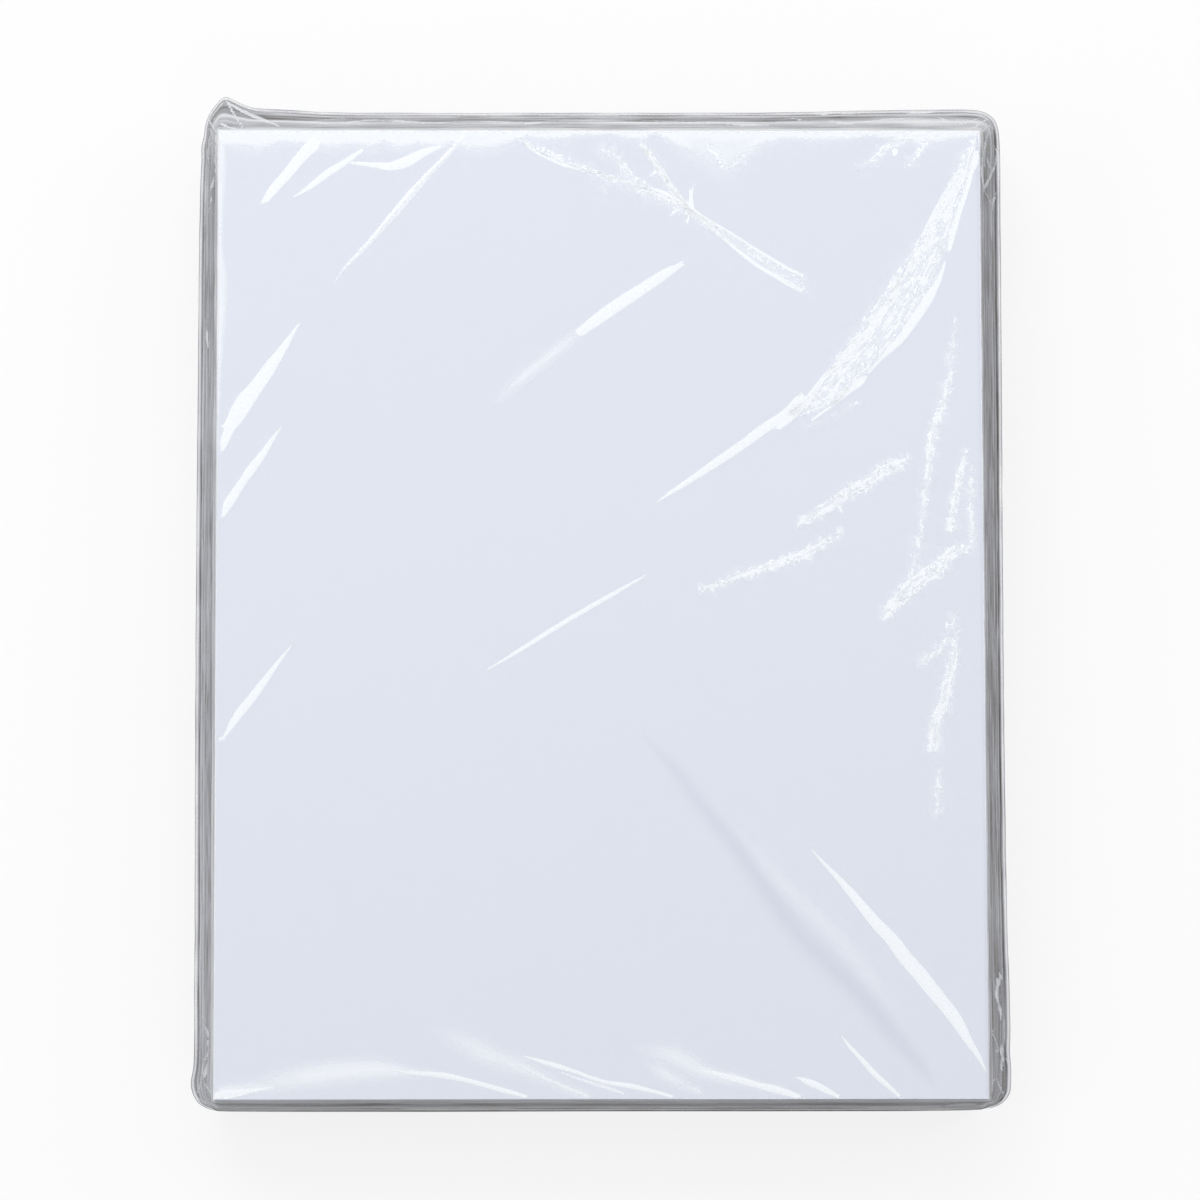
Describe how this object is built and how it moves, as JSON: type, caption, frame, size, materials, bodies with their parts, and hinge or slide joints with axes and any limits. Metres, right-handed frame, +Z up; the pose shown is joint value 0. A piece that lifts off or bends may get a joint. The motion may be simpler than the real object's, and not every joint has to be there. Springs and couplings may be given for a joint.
{
  "type": "ream of drawing paper",
  "caption": "Thick stack of plain drawing paper sealed in clear, creased shrink film with a welded seam round three sides.",
  "frame": {"origin": "middle of the stack on the underside of the film, where the pack rests", "axes": "+X to the right across the sheets, +Y along the sheets towards the welded back, +Z up through the stack"},
  "size_m": [0.2993, 0.3769, 0.0518],
  "materials": {
    "drawing_paper": "smooth uncoated paper, cool white, with fine sheet lines on the four cut sides",
    "clear_film": "clear glossy shrink film, wrinkled, denser where it is gathered at the seam"
  },
  "bodies": {
    "root": {"paper_stack": "drawing_paper", "shrink_film": "clear_film"}
  },
  "joints": []
}
